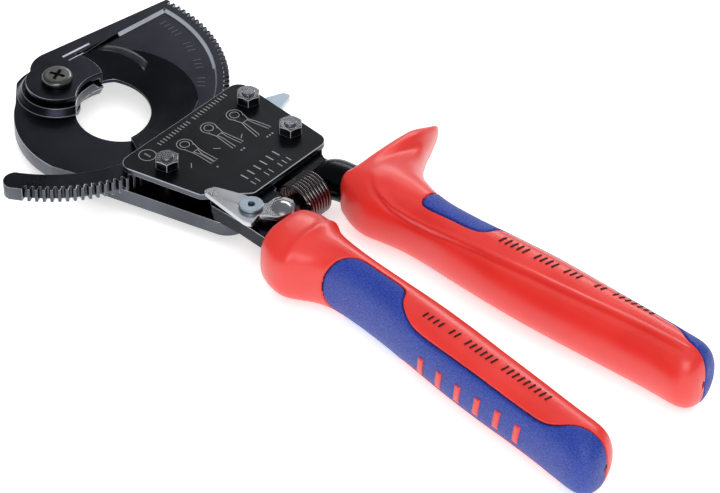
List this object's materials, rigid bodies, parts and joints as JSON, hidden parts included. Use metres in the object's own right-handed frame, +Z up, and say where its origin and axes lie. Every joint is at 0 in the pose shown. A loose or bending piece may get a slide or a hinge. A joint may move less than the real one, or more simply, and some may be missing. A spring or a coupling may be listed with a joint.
{
  "type": "cable cutter",
  "caption": "Ratchet hand cutter for thick cable: hooked fixed blade, toothed sector blade, cover plate, two soft grips, guard, latch and return spring.",
  "frame": {"origin": "middle of the tool's footprint, on the surface it lies on", "axes": "+X from the cutting head to the grips, +Y towards the guarded fixed handle, +Z up out of the cover plate"},
  "size_m": [0.2524, 0.1122, 0.0246],
  "materials": {
    "blued_steel": "satin",
    "cover_steel": "satin",
    "dark_chrome": "polished",
    "nickel": "brushed",
    "zinc": "bright",
    "spring_steel": "satin",
    "red_plastic": "satin",
    "blue_rubber": "textured"
  },
  "bodies": {
    "frame": {"fixed_blade": "blued_steel", "cover_plate": "cover_steel", "pivot_bush": "blued_steel", "pivot_screw": "nickel", "front_bolt": "dark_chrome", "upper_bolt": "dark_chrome", "rear_bolt": "dark_chrome", "front_washer": "dark_chrome", "upper_washer": "dark_chrome", "rear_washer": "dark_chrome", "front_nut": "dark_chrome", "upper_nut": "dark_chrome", "rear_nut": "dark_chrome", "front_sleeve": "blued_steel", "upper_sleeve": "blued_steel", "hinge_pin": "blued_steel", "handle_dowel": "blued_steel", "fixed_handle": "blued_steel", "fixed_grip": "red_plastic", "fixed_grip_inlay": "blue_rubber", "fixed_spring_peg": "blued_steel", "retaining_pawl_spring": "spring_steel", "handle_spring": "spring_steel"},
    "blade": {"moving_blade": "blued_steel"},
    "handle": {"moving_handle": "blued_steel", "moving_grip": "red_plastic", "moving_grip_inlay": "blue_rubber", "drive_pawl_pin": "blued_steel", "latch_rivet": "zinc", "latch_spacer": "zinc", "moving_spring_peg": "blued_steel", "drive_pawl_spring": "spring_steel"},
    "drive_pawl": {"drive_pawl": "blued_steel"},
    "retaining_pawl": {"retaining_pawl": "zinc"},
    "latch": {"latch_clasp": "zinc", "latch_knob": "zinc"}
  },
  "joints": [
    {"name": "blade_pivot", "type": "hinge", "parent": "frame", "child": "blade", "pos_m": [-0.11185, -0.0078, 0.0123], "axis": [0, 0, 1], "range_deg": [-60, 105]},
    {"name": "handle_hinge", "type": "hinge", "parent": "frame", "child": "handle", "pos_m": [-0.03785, -0.0058, 0.0124], "axis": [0, 0, 1], "range_deg": [-22, 0], "deforming": ["handle_spring"]},
    {"name": "drive_pawl_pivot", "type": "hinge", "parent": "handle", "child": "drive_pawl", "pos_m": [-0.04785, -0.0108, 0.0136], "axis": [0, 0, 1], "range_deg": [-5, 2.5], "deforming": ["drive_pawl_spring"]},
    {"name": "retaining_pawl_pivot", "type": "hinge", "parent": "frame", "child": "retaining_pawl", "pos_m": [-0.05745, 0.0231, 0.0124], "axis": [0, 0, 1], "range_deg": [-4, 8], "deforming": ["retaining_pawl_spring"]},
    {"name": "latch_pivot", "type": "hinge", "parent": "handle", "child": "latch", "pos_m": [-0.02035, -0.0165, 0.018], "axis": [0, 0, 1], "range_deg": [0, 25]}
  ]
}
